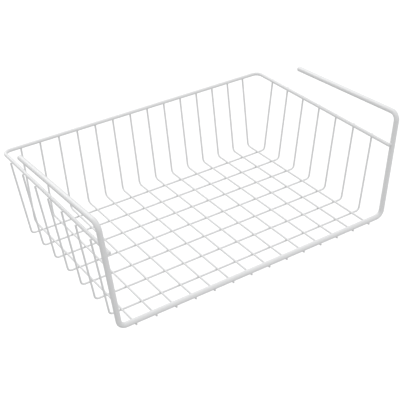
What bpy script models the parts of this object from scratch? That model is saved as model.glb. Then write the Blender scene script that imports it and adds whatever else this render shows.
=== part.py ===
"""Under shelf basket of welded steel wire, powder coated white.

Long wires run from front to rear and turn up into the rear wall. Cross wires lie under them and
turn up into the two side walls. A rim wire joins the tops of the walls on three sides. One heavier
rod makes the front bar, the two front posts and the two arms that slide over a shelf board.

Metres, +Z up, +X to the right and +Y to the rear. The origin is at the middle of the footprint, on
the surface that the floor wires stand on.
"""

import math

import bmesh
import bpy
from mathutils import Vector

# Counts
LONG_WIRES = 14
CROSS_WIRES = 7

# Stock, over the powder coat
THIN_WIRE = 0.0022
RIM_WIRE = 0.0042
FRAME_ROD = 0.0062

# Each weld keeps this clearance, so that every wire stays a piece of its own
WELD_GAP = 0.0003

# Floor: its width between the corners where the cross wires turn up, the pitch of the cross wires, and
# the margins from the outer wires to the side corners, to the front bar and to the rear corners
FLOOR_WIDTH = 0.352
PITCH_DEEP = 0.0322
SIDE_MARGIN = 0.0135
FRONT_MARGIN = 0.0326
REAR_MARGIN = 0.0193

# Walls
RIM_HEIGHT = 0.1025
WALL_LEAN = math.radians(7.5)
POST_LEAN = math.radians(5.8)

# Arms: their height over the rim at the posts, their length and their slope down to the rear
ARM_RISE = 0.0380
ARM_LENGTH = 0.180
ARM_DROOP = math.radians(2.5)

# Bends, to the middle of the wire
THIN_BEND = 0.0050
RIM_BEND = 0.0090
FRAME_BEND = 0.0090

# How far cut ends run past the middle of what they are welded to: wall wires past the rim, long wires
# past the bar and the rim past the posts. The coat rounds the edge of each cut.
WALL_OVERRUN = 0.0003
BAR_OVERRUN = 0.0018
RIM_OVERRUN = 0.0010
END_CHAMFER = 0.0003

# Facets: sides of a wire and steps of a bend
THIN_SIDES = 12
RIM_SIDES = 16
FRAME_SIDES = 20
THIN_STEPS = 5
RIM_STEPS = 8
FRAME_STEPS = 8

# The powder coat
COAT_COLOUR = (0.90, 0.90, 0.89, 1.0)
COAT_ROUGHNESS = 0.38
COAT_METALLIC = 0.0

X_AXIS = Vector((1, 0, 0))
Y_AXIS = Vector((0, 1, 0))
Z_AXIS = Vector((0, 0, 1))

# Heights of the wires' middles
CROSS_Z = THIN_WIRE / 2
LONG_Z = CROSS_Z + THIN_WIRE + WELD_GAP
BAR_Z = LONG_Z + THIN_WIRE / 2 + WELD_GAP + FRAME_ROD / 2
RIM_Z = CROSS_Z + RIM_HEIGHT
WALL_TOP_Z = RIM_Z + WALL_OVERRUN
ARM_Z = RIM_Z + ARM_RISE

# The long wires share the floor's width evenly
PITCH_ACROSS = (FLOOR_WIDTH - 2 * SIDE_MARGIN) / (LONG_WIRES - 1)

# Places from front to rear, set so that the footprint is centred on the origin
WALL_RUN = math.tan(WALL_LEAN)
REAR_LEG = (WALL_TOP_Z - LONG_Z) / math.cos(WALL_LEAN)
REAR_REACH = (REAR_LEG - END_CHAMFER) * math.sin(WALL_LEAN) + THIN_WIRE / 2 * math.cos(WALL_LEAN)
FRONT_REACH = max(FRAME_ROD / 2, BAR_OVERRUN)
FLOOR_DEPTH = FRONT_MARGIN + (CROSS_WIRES - 1) * PITCH_DEEP + REAR_MARGIN
BAR_Y = (FRONT_REACH - FLOOR_DEPTH - REAR_REACH) / 2
FRONT_CROSS_Y = BAR_Y + FRONT_MARGIN
REAR_CORNER_Y = BAR_Y + FLOOR_DEPTH

# The rim lies inside the wall wires, and the posts lie outside the rim
WALL_TO_RIM = (THIN_WIRE / 2 + WELD_GAP + RIM_WIRE / 2) / math.cos(WALL_LEAN)
RIM_TO_POST = (RIM_WIRE / 2 + WELD_GAP + FRAME_ROD / 2) / math.cos(POST_LEAN)
WALL_TOP_X = FLOOR_WIDTH / 2 + (WALL_TOP_Z - CROSS_Z) * WALL_RUN
REAR_TOP_Y = REAR_CORNER_Y + (WALL_TOP_Z - LONG_Z) * WALL_RUN
RIM_X = FLOOR_WIDTH / 2 + (RIM_Z - CROSS_Z) * WALL_RUN - WALL_TO_RIM
RIM_Y = REAR_CORNER_Y + (RIM_Z - LONG_Z) * WALL_RUN - WALL_TO_RIM
POST_RIM_X = RIM_X + RIM_TO_POST
POST_FOOT_X = POST_RIM_X - (RIM_Z - BAR_Z) * math.tan(POST_LEAN)
POST_TOP_X = POST_RIM_X + (ARM_Z - RIM_Z) * math.tan(POST_LEAN)
ARM_TIP_Y = BAR_Y + ARM_LENGTH * math.cos(ARM_DROOP)
ARM_TIP_Z = ARM_Z - ARM_LENGTH * math.sin(ARM_DROOP)


def clear_scene():
    for found in list(bpy.data.objects):
        bpy.data.objects.remove(found, do_unlink=True)


def powder_coat(name):
    material = bpy.data.materials.new(name)
    material.use_nodes = True
    shader = material.node_tree.nodes["Principled BSDF"]
    shader.inputs["Base Color"].default_value = COAT_COLOUR
    shader.inputs["Roughness"].default_value = COAT_ROUGHNESS
    shader.inputs["Metallic"].default_value = COAT_METALLIC
    material.diffuse_color = COAT_COLOUR
    return material


def arc_points(before, corner, after, radius, steps):
    """The points of the arc that rounds one corner of a bent wire, ends included."""
    back = (before - corner).normalized()
    ahead = (after - corner).normalized()
    half_angle = back.angle(ahead) / 2
    centre = corner + (back + ahead).normalized() * radius / math.sin(half_angle)
    start = corner + back * radius / math.tan(half_angle) - centre
    end = corner + ahead * radius / math.tan(half_angle) - centre
    turn = start.angle(end)
    points = []
    for step in range(steps + 1):
        along = turn * step / steps
        offset = (start * math.sin(turn - along) + end * math.sin(along)) / math.sin(turn)
        points.append(centre + offset)
    return points


def wire_path(corners, radius, steps):
    """The middle line of a wire: straight runs, with an arc at each inner corner."""
    path = [corners[0]]
    for index in range(1, len(corners) - 1):
        path += arc_points(corners[index - 1], corners[index], corners[index + 1], radius, steps)
    path.append(corners[-1])
    return path


def tangent_at(path, index):
    """The wire's direction at a point of its path, halfway between the runs that meet there."""
    ahead = path[min(index + 1, len(path) - 1)] - path[min(index, len(path) - 2)]
    back = path[max(index, 1)] - path[max(index - 1, 0)]
    return (ahead.normalized() + back.normalized()).normalized()


def ring_of(mesh, middle, side, lift, flat_radius, sides):
    """One ring of a wire, with a flat facing each of side and lift at exactly the flat radius."""
    corner_radius = flat_radius / math.cos(math.pi / sides)
    ring = []
    for index in range(sides):
        angle = 2 * math.pi * (index + 0.5) / sides
        spoke = side * math.cos(angle) + lift * math.sin(angle)
        ring.append(mesh.verts.new(middle + spoke * corner_radius))
    return ring


def bent_wire(name, path, diameter, sides, side_at):
    """A round wire swept along its path, with both cut ends chamfered. Each is one closed body."""
    path = list(path)
    first_run = (path[1] - path[0]).normalized()
    last_run = (path[-2] - path[-1]).normalized()
    path.insert(1, path[0] + first_run * END_CHAMFER)
    path.insert(-1, path[-1] + last_run * END_CHAMFER)
    mesh = bmesh.new()
    rings = []
    for index, middle in enumerate(path):
        tangent = tangent_at(path, index)
        side = side_at(middle, tangent)
        cut_end = index in (0, len(path) - 1)
        flat_radius = diameter / 2 - (END_CHAMFER if cut_end else 0)
        rings.append(ring_of(mesh, middle, side, tangent.cross(side), flat_radius, sides))
    for near, far in zip(rings, rings[1:]):
        for index in range(sides):
            following = (index + 1) % sides
            mesh.faces.new((near[index], near[following], far[following], far[index]))
    mesh.faces.new(list(reversed(rings[0])))
    mesh.faces.new(rings[-1])
    bmesh.ops.recalc_face_normals(mesh, faces=mesh.faces)
    data = bpy.data.meshes.new(name)
    mesh.to_mesh(data)
    mesh.free()
    data.shade_smooth()
    data.set_sharp_from_angle(angle=math.radians(40))
    wire = bpy.data.objects.new(name, data)
    data.materials.append(powder_coat(name + "_coat"))
    bpy.context.scene.collection.objects.link(wire)
    return wire


def make_cross_wires():
    """Flat U shapes: the floor's lowest layer, turned up into both side walls."""
    for index in range(CROSS_WIRES):
        y = FRONT_CROSS_Y + (CROSS_WIRES - 1 - index) * PITCH_DEEP
        corners = [
            Vector((-WALL_TOP_X, y, WALL_TOP_Z)),
            Vector((-FLOOR_WIDTH / 2, y, CROSS_Z)),
            Vector((FLOOR_WIDTH / 2, y, CROSS_Z)),
            Vector((WALL_TOP_X, y, WALL_TOP_Z)),
        ]
        path = wire_path(corners, THIN_BEND, THIN_STEPS)
        bent_wire(f"cross_wire_{index + 1}", path, THIN_WIRE, THIN_SIDES, lambda middle, tangent: Y_AXIS)


def make_long_wires():
    """L shapes on top of the cross wires, under the front bar, turned up into the rear wall."""
    for index in range(LONG_WIRES):
        x = (index - (LONG_WIRES - 1) / 2) * PITCH_ACROSS
        corners = [
            Vector((x, BAR_Y - BAR_OVERRUN, LONG_Z)),
            Vector((x, REAR_CORNER_Y, LONG_Z)),
            Vector((x, REAR_TOP_Y, WALL_TOP_Z)),
        ]
        path = wire_path(corners, THIN_BEND, THIN_STEPS)
        bent_wire(f"long_wire_{index + 1:02d}", path, THIN_WIRE, THIN_SIDES, lambda middle, tangent: X_AXIS)


def make_rim_wire():
    """A level U along the left, rear and right walls, ending beside the posts."""
    front_y = BAR_Y - RIM_OVERRUN
    corners = [
        Vector((-RIM_X, front_y, RIM_Z)),
        Vector((-RIM_X, RIM_Y, RIM_Z)),
        Vector((RIM_X, RIM_Y, RIM_Z)),
        Vector((RIM_X, front_y, RIM_Z)),
    ]
    path = wire_path(corners, RIM_BEND, RIM_STEPS)
    bent_wire("rim_wire", path, RIM_WIRE, RIM_SIDES, lambda middle, tangent: Z_AXIS)


def frame_side(middle, tangent):
    """Turns the front frame's facets with it, so that one faces straight down along each arm."""
    if middle.z < RIM_Z:
        return tangent.cross(Y_AXIS).normalized()
    inward = -X_AXIS if middle.x > 0 else X_AXIS
    return (inward - tangent * inward.dot(tangent)).normalized()


def make_front_frame():
    """One rod: arm, post, front bar, post and arm."""
    corners = [
        Vector((-POST_TOP_X, ARM_TIP_Y, ARM_TIP_Z)),
        Vector((-POST_TOP_X, BAR_Y, ARM_Z)),
        Vector((-POST_FOOT_X, BAR_Y, BAR_Z)),
        Vector((POST_FOOT_X, BAR_Y, BAR_Z)),
        Vector((POST_TOP_X, BAR_Y, ARM_Z)),
        Vector((POST_TOP_X, ARM_TIP_Y, ARM_TIP_Z)),
    ]
    path = wire_path(corners, FRAME_BEND, FRAME_STEPS)
    bent_wire("front_frame", path, FRAME_ROD, FRAME_SIDES, frame_side)


clear_scene()
make_cross_wires()
make_long_wires()
make_rim_wire()
make_front_frame()
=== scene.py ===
"""The looks of a white wire basket that hangs below a shelf board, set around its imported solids."""

import math

import bpy
from mathutils import Matrix, Vector


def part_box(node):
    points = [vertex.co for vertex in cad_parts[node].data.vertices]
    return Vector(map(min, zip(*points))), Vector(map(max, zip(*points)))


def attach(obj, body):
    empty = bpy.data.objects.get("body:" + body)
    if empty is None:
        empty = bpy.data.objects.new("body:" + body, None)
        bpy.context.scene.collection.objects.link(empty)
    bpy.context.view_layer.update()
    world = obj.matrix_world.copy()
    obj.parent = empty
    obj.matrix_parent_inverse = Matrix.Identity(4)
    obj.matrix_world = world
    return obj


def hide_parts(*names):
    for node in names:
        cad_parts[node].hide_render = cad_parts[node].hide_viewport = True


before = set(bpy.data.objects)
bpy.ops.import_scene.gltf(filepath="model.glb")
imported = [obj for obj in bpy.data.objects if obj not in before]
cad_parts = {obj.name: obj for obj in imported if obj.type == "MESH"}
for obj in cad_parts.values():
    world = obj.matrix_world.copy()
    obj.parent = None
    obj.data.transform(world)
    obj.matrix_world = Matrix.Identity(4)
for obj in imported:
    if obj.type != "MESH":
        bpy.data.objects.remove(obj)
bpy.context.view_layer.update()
bpy.ops.object.select_all(action="DESELECT")

# The floor's cross wires. Each is one drawn steel wire, bent up at both ends into the side walls. They
# lie lowest in the welding jig. Their tops are cropped behind the rim, and the powder coat rounds the
# cut edges.
thin_wire = 0.0022
thin_bend = 0.0050
thin_sides = 20
thin_bend_steps = 12
floor_width = 0.352
wall_lean = math.radians(7.5)
wall_overrun = 0.0003
cut_edge_share = 0.42
cut_edge_steps = 4
smooth_below = math.radians(50)
merge_within = 1e-6
coat_light = (0.795, 0.800, 0.805, 1)
coat_dark = (0.765, 0.770, 0.775, 1)
coat_roughness = 0.36
coat_roughness_spread = 0.14
coat_tint_scale = 24
coat_tint_detail = 3.0
coat_patch_scale = 210
coat_patch_detail = 2.0
coat_peel_scale = 900
coat_peel_detail = 1.0
coat_grain_scale = 3600
coat_grain_detail = 2.0
noise_middle = 0.5
coat_peel_share = 0.75
coat_peel_height = 0.00003
mix_factor = 0
mix_at_none = 6
mix_at_full = 7
mix_colour = 2


class Signal:
    """One socket of a material. A sum written with it adds its Math nodes."""

    def __init__(self, tree, socket):
        self.tree = tree
        self.socket = socket

    def node(self, kind, settings, inputs, output):
        """Any other node: its settings are set first, then the values or links of its sockets."""
        made = self.tree.nodes.new(kind)
        for name, setting in settings.items():
            setattr(made, name, setting)
        for name, value in inputs.items():
            if isinstance(value, Signal):
                self.tree.links.new(value.socket, made.inputs[name])
            else:
                made.inputs[name].default_value = value
        return Signal(self.tree, made.outputs[output])

    def math(self, operation, first, second):
        return self.node("ShaderNodeMath", {"operation": operation}, {0: first, 1: second}, "Value")

    def __add__(self, other):
        return self.math("ADD", self, other)

    def __mul__(self, other):
        return self.math("MULTIPLY", self, other)

    def __sub__(self, other):
        return self.math("SUBTRACT", self, other)

    def mixed(self, colour_at_none, colour_at_full):
        """One colour where this signal is 0, the other where it is 1, and all between."""
        sockets = {mix_factor: self, mix_at_none: colour_at_none, mix_at_full: colour_at_full}
        return self.node("ShaderNodeMix", {"data_type": "RGBA"}, sockets, mix_colour)


def powder_coat(name, light, dark, roughness, peel_share):
    """Polyester powder, sprayed on dry and baked: satin, with a faint orange peel and a finer grain."""
    material = bpy.data.materials.new(name)
    material.use_nodes = True
    tree = material.node_tree
    shader = tree.nodes["Principled BSDF"]
    place = tree.nodes.new("ShaderNodeTexCoord")
    spot = Signal(tree, place.outputs["Object"])

    def noise(scale, detail):
        inputs = {"Vector": spot, "Scale": scale, "Detail": detail}
        return spot.node("ShaderNodeTexNoise", {}, inputs, "Fac")

    tint = noise(coat_tint_scale, coat_tint_detail)
    patches = noise(coat_patch_scale, coat_patch_detail)
    peel = noise(coat_peel_scale, coat_peel_detail)
    grain = noise(coat_grain_scale, coat_grain_detail)
    colour = tint.mixed(dark, light)
    gloss = (patches - noise_middle) * coat_roughness_spread + roughness
    height = peel * peel_share + grain * (1 - peel_share)
    relief = spot.node("ShaderNodeBump", {}, {"Height": height, "Distance": coat_peel_height}, "Normal")
    tree.links.new(colour.socket, shader.inputs["Base Color"])
    tree.links.new(gloss.socket, shader.inputs["Roughness"])
    tree.links.new(relief.socket, shader.inputs["Normal"])
    return material


wire_coat = powder_coat("white_powder_coat", coat_light, coat_dark, coat_roughness, coat_peel_share)


def bent_wire(name, corners, diameter, bend, sides, bend_steps):
    """A disc pushed along each straight run and spun round each bend, with its cut edges rounded."""
    first_run = corners[1] - corners[0]
    bpy.ops.mesh.primitive_circle_add(
        vertices=sides,
        radius=diameter / 2,
        fill_type="NGON",
        location=corners[0],
        rotation=first_run.to_track_quat("Z", "Y").to_euler(),
    )
    wire = bpy.context.object
    wire.name = name
    bpy.ops.object.transform_apply()
    bpy.ops.object.mode_set(mode="EDIT")
    bpy.ops.mesh.select_all(action="SELECT")
    reached = corners[0]
    for before, corner, after in zip(corners, corners[1:], corners[2:]):
        back = (before - corner).normalized()
        ahead = (after - corner).normalized()
        half_angle = back.angle(ahead) / 2
        trim = bend / math.tan(half_angle)
        bend_start = corner + back * trim
        bpy.ops.mesh.extrude_region_move(TRANSFORM_OT_translate={"value": bend_start - reached})
        bpy.ops.mesh.spin(
            steps=bend_steps,
            angle=math.pi - 2 * half_angle,
            center=corner + (back + ahead).normalized() * bend / math.sin(half_angle),
            axis=back.cross(ahead).normalized(),
        )
        reached = corner + ahead * trim
    bpy.ops.mesh.extrude_region_move(TRANSFORM_OT_translate={"value": corners[-1] - reached})
    bpy.ops.mesh.select_all(action="SELECT")
    bpy.ops.mesh.remove_doubles(threshold=merge_within)
    bpy.ops.mesh.normals_make_consistent(inside=False)
    bpy.ops.mesh.select_all(action="DESELECT")
    bpy.ops.mesh.select_face_by_sides(number=sides)
    bpy.ops.mesh.region_to_loop()
    bpy.ops.mesh.bevel(offset=diameter / 2 * cut_edge_share, segments=cut_edge_steps)
    bpy.ops.object.mode_set(mode="OBJECT")
    bpy.ops.object.shade_smooth_by_angle(angle=smooth_below)
    return wire


def copied(piece, name, offset):
    """A copy of a finished piece, with a mesh of its own, moved into its place."""
    bpy.ops.object.select_all(action="DESELECT")
    piece.select_set(True)
    bpy.context.view_layer.objects.active = piece
    bpy.ops.object.duplicate_move(
        OBJECT_OT_duplicate={"linked": False},
        TRANSFORM_OT_translate={"value": offset},
    )
    copy = bpy.context.object
    copy.name = name
    bpy.ops.object.transform_apply()
    return copy


def finished(piece, coat, *nodes):
    """Coats a piece, fixes it to the basket and puts it in place of its solids, if it has any."""
    piece.data.materials.clear()
    piece.data.materials.append(coat)
    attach(piece, "root")
    if nodes:
        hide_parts(*nodes)


def middle_of(node):
    low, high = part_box(node)
    return (low + high) / 2


cross_nodes = sorted(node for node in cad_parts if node.startswith("cross_wire_"))
floor_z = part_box(cross_nodes[0])[0].z + thin_wire / 2
rim_z = middle_of("rim_wire").z
wall_top_z = rim_z + wall_overrun
wall_top_x = floor_width / 2 + (wall_top_z - floor_z) * math.tan(wall_lean)
first_y = middle_of(cross_nodes[0]).y
cross_corners = [
    Vector((-wall_top_x, first_y, wall_top_z)),
    Vector((-floor_width / 2, first_y, floor_z)),
    Vector((floor_width / 2, first_y, floor_z)),
    Vector((wall_top_x, first_y, wall_top_z)),
]
first_cross = bent_wire(
    "coated_" + cross_nodes[0], cross_corners, thin_wire, thin_bend, thin_sides, thin_bend_steps
)
for node in cross_nodes[1:]:
    offset = Vector((0, middle_of(node).y - first_y, 0))
    finished(copied(first_cross, "coated_" + node, offset), wire_coat, node)
finished(first_cross, wire_coat, cross_nodes[0])

# The long wires lie on the cross wires and make the floor's grid with them. Each runs from under the
# front bar to the rear, where it is bent up into the rear wall. They are of the same drawn wire.
floor_depth = 0.2451
frame_rod = 0.0062

long_nodes = sorted(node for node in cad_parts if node.startswith("long_wire_"))
long_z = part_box(long_nodes[0])[0].z + thin_wire / 2
bar_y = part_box("front_frame")[0].y + frame_rod / 2
rear_corner_y = bar_y + floor_depth
rear_top_y = rear_corner_y + (wall_top_z - long_z) * math.tan(wall_lean)
first_x = middle_of(long_nodes[0]).x
long_corners = [
    Vector((first_x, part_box(long_nodes[0])[0].y, long_z)),
    Vector((first_x, rear_corner_y, long_z)),
    Vector((first_x, rear_top_y, wall_top_z)),
]
first_long = bent_wire(
    "coated_" + long_nodes[0], long_corners, thin_wire, thin_bend, thin_sides, thin_bend_steps
)
for node in long_nodes[1:]:
    offset = Vector((middle_of(node).x - first_x, 0, 0))
    finished(copied(first_long, "coated_" + node, offset), wire_coat, node)
finished(first_long, wire_coat, long_nodes[0])

# The floor's welds. Current melts the wires together at every crossing of the grid, and the powder then
# pools in the corners between them. Each weld shows as a small web from one wire to the other.
weld_gap = 0.0003
web_sides = 12
web_near_share = 0.30
web_reach_share = 0.78
web_spread_share = 0.85
web_leg_share = 0.14
web_tuck_share = 0.90
web_near_taper_share = 0.92
web_reach_taper_share = 0.70
# The pooled coat's colours are a touch lighter than the wire coat's. This is painted light, which lifts
# the shade that falls in the crossings.
pooled_light_with_painted_fill = (0.800, 0.804, 0.808, 1)
pooled_dark_with_painted_fill = (0.770, 0.774, 0.778, 1)
pooled_roughness = 0.31
pooled_peel_share = 0.55

weld_coat = powder_coat(
    "pooled_powder_coat", pooled_light_with_painted_fill, pooled_dark_with_painted_fill, pooled_roughness, pooled_peel_share
)


def half_width(radius, height):
    """Half the width of a wire's section, at a height counted from the middle of the weld's gap."""
    return math.sqrt(radius**2 - (radius + weld_gap / 2 - height) ** 2)


def weld_web(name, middle, along, normal, lower_radius, upper_radius):
    """The coat's web between a wire that runs along and the wire that crosses it on its normal side."""
    size = min(lower_radius, upper_radius)
    near = size * web_near_share
    reach = size * web_reach_share
    spread = size * web_spread_share
    leg = size * web_leg_share
    near_taper = spread * web_near_taper_share
    reach_taper = spread * web_reach_taper_share
    rings = [
        (-reach, reach_taper, half_width(lower_radius, reach) * web_tuck_share),
        (-near, near_taper, half_width(lower_radius, near) + leg),
        (0, spread, spread),
        (near, half_width(upper_radius, near) + leg, near_taper),
        (reach, half_width(upper_radius, reach) * web_tuck_share, reach_taper),
    ]
    height, wide, deep = rings[0]
    bpy.ops.mesh.primitive_circle_add(
        vertices=web_sides, radius=wide, fill_type="NGON", location=(0, 0, height)
    )
    web = bpy.context.object
    web.name = name
    bpy.ops.object.transform_apply()
    bpy.ops.object.mode_set(mode="EDIT")
    bpy.ops.mesh.select_all(action="SELECT")
    bpy.ops.transform.resize(value=(1, deep / wide, 1), center_override=(0, 0, 0))
    for (low, wide, deep), (high, next_wide, next_deep) in zip(rings, rings[1:]):
        bpy.ops.mesh.extrude_region_move(TRANSFORM_OT_translate={"value": (0, 0, high - low)})
        stretch = (next_wide / wide, next_deep / deep, 1)
        bpy.ops.transform.resize(value=stretch, center_override=(0, 0, high))
    bpy.ops.mesh.select_all(action="SELECT")
    bpy.ops.mesh.normals_make_consistent(inside=False)
    bpy.ops.object.mode_set(mode="OBJECT")
    turned = Matrix((along, normal.cross(along), normal)).transposed()
    web.matrix_world = Matrix.Translation(middle) @ turned.to_4x4()
    bpy.ops.object.transform_apply()
    bpy.ops.object.shade_smooth()
    return web


def repeated(piece, count, step):
    """Repeats a piece in a straight row."""
    row = piece.modifiers.new("row", "ARRAY")
    row.use_relative_offset = False
    row.use_constant_offset = True
    row.constant_offset_displace = step
    row.count = count
    bpy.context.view_layer.objects.active = piece
    bpy.ops.object.modifier_apply(modifier=row.name)


thin_radius = thin_wire / 2
across_step = Vector(((middle_of(long_nodes[-1]).x - first_x) / (len(long_nodes) - 1), 0, 0))
deep_step = Vector((0, (middle_of(cross_nodes[-1]).y - first_y) / (len(cross_nodes) - 1), 0))
along_x = Vector((1, 0, 0))
along_y = Vector((0, 1, 0))
upward = Vector((0, 0, 1))
floor_crossing = Vector((first_x, first_y, (floor_z + long_z) / 2))
floor_welds = weld_web("floor_welds", floor_crossing, along_x, upward, thin_radius, thin_radius)
repeated(floor_welds, len(long_nodes), across_step)
repeated(floor_welds, len(cross_nodes), deep_step)
finished(floor_welds, weld_coat)

# The rim. One wire, nearly twice as thick as the others, bent flat into a U. It is welded to the inner
# sides of the walls, in front of their cropped tops, and its ends run just past the front posts.
rim_wire = 0.0042
rim_bend = 0.0090
rim_sides = 28
rim_bend_steps = 16

rim_low, rim_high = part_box("rim_wire")
rim_x = rim_high.x - rim_wire / 2
rim_y = rim_high.y - rim_wire / 2
rim_corners = [
    Vector((-rim_x, rim_low.y, rim_z)),
    Vector((-rim_x, rim_y, rim_z)),
    Vector((rim_x, rim_y, rim_z)),
    Vector((rim_x, rim_low.y, rim_z)),
]
rim = bent_wire("coated_rim_wire", rim_corners, rim_wire, rim_bend, rim_sides, rim_bend_steps)
finished(rim, wire_coat, "rim_wire")

# The rim's welds. The rim crosses every wire of the rear and side walls, and each crossing is welded.
# The coat pools in them as it does in the floor's.
rim_radius = rim_wire / 2
rim_seat = rim_radius + weld_gap / 2
run = math.sin(wall_lean)
rise = math.cos(wall_lean)

rear_inward = Vector((0, -rise, run))
rear_crossing = Vector((first_x, rim_y, rim_z)) - rear_inward * rim_seat
rear_up = Vector((0, run, rise))
rear_welds = weld_web("rear_rim_welds", rear_crossing, rear_up, rear_inward, thin_radius, rim_radius)
repeated(rear_welds, len(long_nodes), across_step)
finished(rear_welds, weld_coat)

for side, outward in (("left", -1), ("right", 1)):
    inward = Vector((-outward * rise, 0, run))
    up_wall = Vector((outward * run, 0, rise))
    crossing = Vector((outward * rim_x, first_y, rim_z)) - inward * rim_seat
    welds = weld_web(side + "_rim_welds", crossing, up_wall, inward, thin_radius, rim_radius)
    repeated(welds, len(cross_nodes), deep_step)
    finished(welds, weld_coat)

# The front frame. One heavy steel rod, bent cold into the left arm, the left post, the front bar, the
# right post and the right arm. The arms slide over the shelf board. Their ends are sawn square.
frame_bend = 0.0090
frame_sides = 36
frame_bend_steps = 18
arm_corner_z = 0.1416
arm_length = 0.180
arm_droop = math.radians(2.5)
post_lean = math.radians(5.8)

frame_low, frame_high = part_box("front_frame")
bar_z = frame_low.z + frame_rod / 2
arm_x = frame_high.x - frame_rod / 2
foot_x = arm_x - (arm_corner_z - bar_z) * math.tan(post_lean)
arm_tip_y = bar_y + arm_length * math.cos(arm_droop)
arm_tip_z = arm_corner_z - arm_length * math.sin(arm_droop)
frame_corners = [
    Vector((-arm_x, arm_tip_y, arm_tip_z)),
    Vector((-arm_x, bar_y, arm_corner_z)),
    Vector((-foot_x, bar_y, bar_z)),
    Vector((foot_x, bar_y, bar_z)),
    Vector((arm_x, bar_y, arm_corner_z)),
    Vector((arm_x, arm_tip_y, arm_tip_z)),
]
front_frame = bent_wire(
    "coated_front_frame", frame_corners, frame_rod, frame_bend, frame_sides, frame_bend_steps
)
finished(front_frame, wire_coat, "front_frame")

# The front frame's welds. Every long wire is welded to the underside of the bar, and each end of the
# rim to the inner side of its post.
frame_radius = frame_rod / 2

bar_crossing = Vector((first_x, bar_y, bar_z - frame_radius - weld_gap / 2))
bar_welds = weld_web("bar_welds", bar_crossing, along_y, upward, thin_radius, frame_radius)
repeated(bar_welds, len(long_nodes), across_step)
finished(bar_welds, weld_coat)

for side, outward in (("left", -1), ("right", 1)):
    inward = Vector((-outward * math.cos(post_lean), 0, math.sin(post_lean)))
    up_post = Vector((outward * math.sin(post_lean), 0, math.cos(post_lean)))
    crossing = Vector((outward * rim_x, bar_y, rim_z)) - inward * rim_seat
    weld = weld_web(side + "_post_weld", crossing, up_post, inward, frame_radius, rim_radius)
    finished(weld, weld_coat)

# The studio's floor, well below the basket, which hangs in use. It is a wide sheet of matt white board
# with its edge curved up all round, so that no view shows where it ends. It glows a little, to stay a
# clean white, and it throws no light back, so that the undersides of the rods stay dim.
sweep_radius = 6.0
sweep_sides = 96
sweep_rise = 1.6
sweep_steps = 12
floor_drop = 0.60
board_white = (0.88, 0.88, 0.88, 1)
board_off_white = (0.87, 0.87, 0.87, 1)
board_roughness = 0.85
board_glow = 0.17
board_scale = 3.0

bpy.ops.mesh.primitive_circle_add(
    vertices=sweep_sides, radius=sweep_radius, fill_type="NGON", location=(0, 0, -floor_drop)
)
sweep = bpy.context.object
sweep.name = "studio_floor"
bpy.ops.object.transform_apply()
bpy.ops.object.mode_set(mode="EDIT")
bpy.ops.mesh.select_all(action="SELECT")
bpy.ops.mesh.region_to_loop()
reached_radius = sweep_radius
reached_rise = 0
for step in range(1, sweep_steps + 1):
    curved = math.pi / 2 * step / sweep_steps
    next_radius = sweep_radius + sweep_rise * math.sin(curved)
    next_rise = sweep_rise * (1 - math.cos(curved))
    lift = (0, 0, next_rise - reached_rise)
    bpy.ops.mesh.extrude_region_move(TRANSFORM_OT_translate={"value": lift})
    widened = next_radius / reached_radius
    bpy.ops.transform.resize(value=(widened, widened, 1), center_override=(0, 0, 0))
    reached_radius = next_radius
    reached_rise = next_rise
bpy.ops.object.mode_set(mode="OBJECT")
bpy.ops.object.shade_smooth()
board = bpy.data.materials.new("white_board")
board.use_nodes = True
board_shader = board.node_tree.nodes["Principled BSDF"]
board_shader.inputs["Roughness"].default_value = board_roughness
board_shader.inputs["Emission Color"].default_value = board_white
board_shader.inputs["Emission Strength"].default_value = board_glow
board_place = board.node_tree.nodes.new("ShaderNodeTexCoord")
board_spot = Signal(board.node_tree, board_place.outputs["Object"])
board_noise = {"Vector": board_spot, "Scale": board_scale}
board_tint = board_spot.node("ShaderNodeTexNoise", {}, board_noise, "Fac")
board_colour = board_tint.mixed(board_off_white, board_white)
board.node_tree.links.new(board_colour.socket, board_shader.inputs["Base Color"])
sweep.data.materials.append(board)
sweep.visible_diffuse = False
sweep.visible_glossy = False

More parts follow.
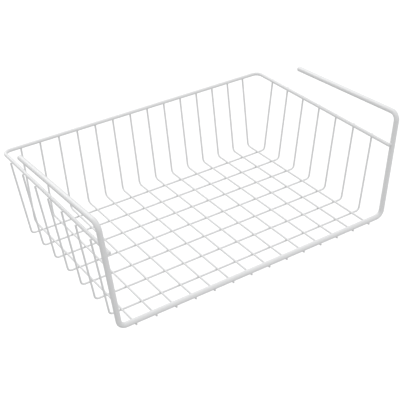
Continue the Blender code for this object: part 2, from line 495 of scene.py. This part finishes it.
# The studio light: one wide diffuser overhead, another high behind the basket, and a pale room. The room
# is brightest overhead, a little towards the front and the right, and grows dimmer down to the floor.
overhead_from = (0.00, 0.20, 1.00)
overhead_spread = math.radians(50)
overhead_strength = 0.36
rear_from = (0.00, 1.00, 0.60)
rear_spread = math.radians(40)
rear_strength = 0.71
room_white = (1, 1, 1, 1)
room_level = 0.715
room_slope = 0.236
room_brightest_towards = (0.25, -0.42, 0.87)


def diffuser(name, seen_towards, spread, strength):
    """A wide soft light far away, seen from the basket in the given direction."""
    turned = Vector(seen_towards).to_track_quat("Z", "Y").to_euler()
    bpy.ops.object.light_add(type="SUN", rotation=turned)
    light = bpy.context.object
    light.name = name
    light.data.angle = spread
    light.data.energy = strength


diffuser("overhead_diffuser", overhead_from, overhead_spread, overhead_strength)
diffuser("rear_diffuser", rear_from, rear_spread, rear_strength)
room = bpy.data.worlds.new("room")
room.use_nodes = True
room_light = room.node_tree.nodes["Background"]
room_light.inputs["Color"].default_value = room_white
room_place = room.node_tree.nodes.new("ShaderNodeTexCoord")
looked_towards = Signal(room.node_tree, room_place.outputs["Generated"])
dot_inputs = {0: looked_towards, 1: Vector(room_brightest_towards).normalized()}
dot_product = {"operation": "DOT_PRODUCT"}
towards_bright = looked_towards.node("ShaderNodeVectorMath", dot_product, dot_inputs, "Value")
room_strength = towards_bright * room_slope + room_level
room.node_tree.links.new(room_strength.socket, room_light.inputs["Strength"])
bpy.context.scene.world = room
bpy.context.scene.view_settings.view_transform = "Standard"

# The camera. It stands on the left in front of the basket and above it, with a long lens, and it is
# turned a little round its own line of sight.
camera_azimuth = math.radians(-32.78)
camera_elevation = math.radians(31.76)
camera_roll = math.radians(-1.87)
camera_distance = 0.926
camera_aim = Vector((-0.10025, -0.16313, 0.15096))
camera_lens = 85.76
camera_sensor = 36

turn = Matrix.Rotation(camera_azimuth, 3, "Z") @ Matrix.Rotation(math.pi / 2 - camera_elevation, 3, "X")
eye = camera_aim + turn @ Vector((0, 0, camera_distance))
rolled = turn @ Matrix.Rotation(camera_roll, 3, "Z")
bpy.ops.object.camera_add(location=eye, rotation=rolled.to_euler())
camera = bpy.context.object
camera.name = "camera"
camera.data.lens = camera_lens
camera.data.sensor_width = camera_sensor
bpy.context.scene.camera = camera
